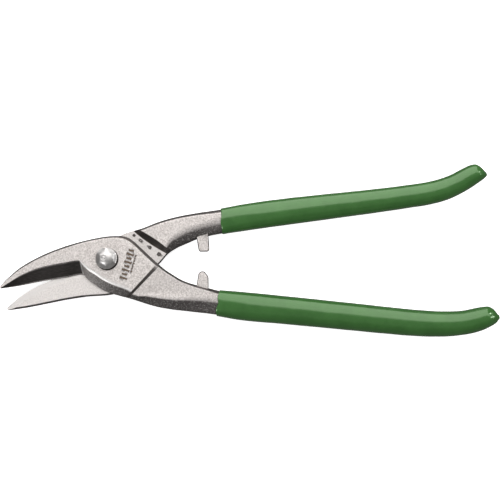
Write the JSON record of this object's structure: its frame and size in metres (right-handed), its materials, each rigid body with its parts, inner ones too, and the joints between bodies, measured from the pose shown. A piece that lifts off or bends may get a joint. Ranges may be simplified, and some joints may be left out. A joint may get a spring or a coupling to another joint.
{
  "type": "sheet metal snips",
  "caption": "Forged hand snips with short curved jaws on one pivot bolt, stop lugs between the handles and dipped vinyl grips.",
  "frame": {"origin": "centre of the flat end of the pivot bolt, on the pivot axis, where the tool rests when it lies on a bench", "axes": "+X along the tool towards the handles, +Y towards the upper handle, +Z along the pivot axis from the nut to the bolt head"},
  "size_m": [0.2745, 0.0949, 0.0219],
  "materials": {
    "forged_steel": "blasted forging with a fine even grain, ground cutting bands",
    "green_vinyl": "dipped vinyl, half gloss",
    "bright_fastener": "bright plated, lightly worn",
    "spring_steel": "dark oiled spring steel"
  },
  "bodies": {
    "front": {"front_half": "forged_steel", "lower_grip": "green_vinyl", "pivot_bolt": "bright_fastener", "pivot_nut": "bright_fastener", "spring_washer": "spring_steel"},
    "rear": {"rear_half": "forged_steel", "upper_grip": "green_vinyl"}
  },
  "joints": [
    {"name": "pivot", "type": "hinge", "parent": "front", "child": "rear", "pos_m": [0, 0, 0.01115], "axis": [0, 0, 1], "range_deg": [-11.2, 20]}
  ]
}
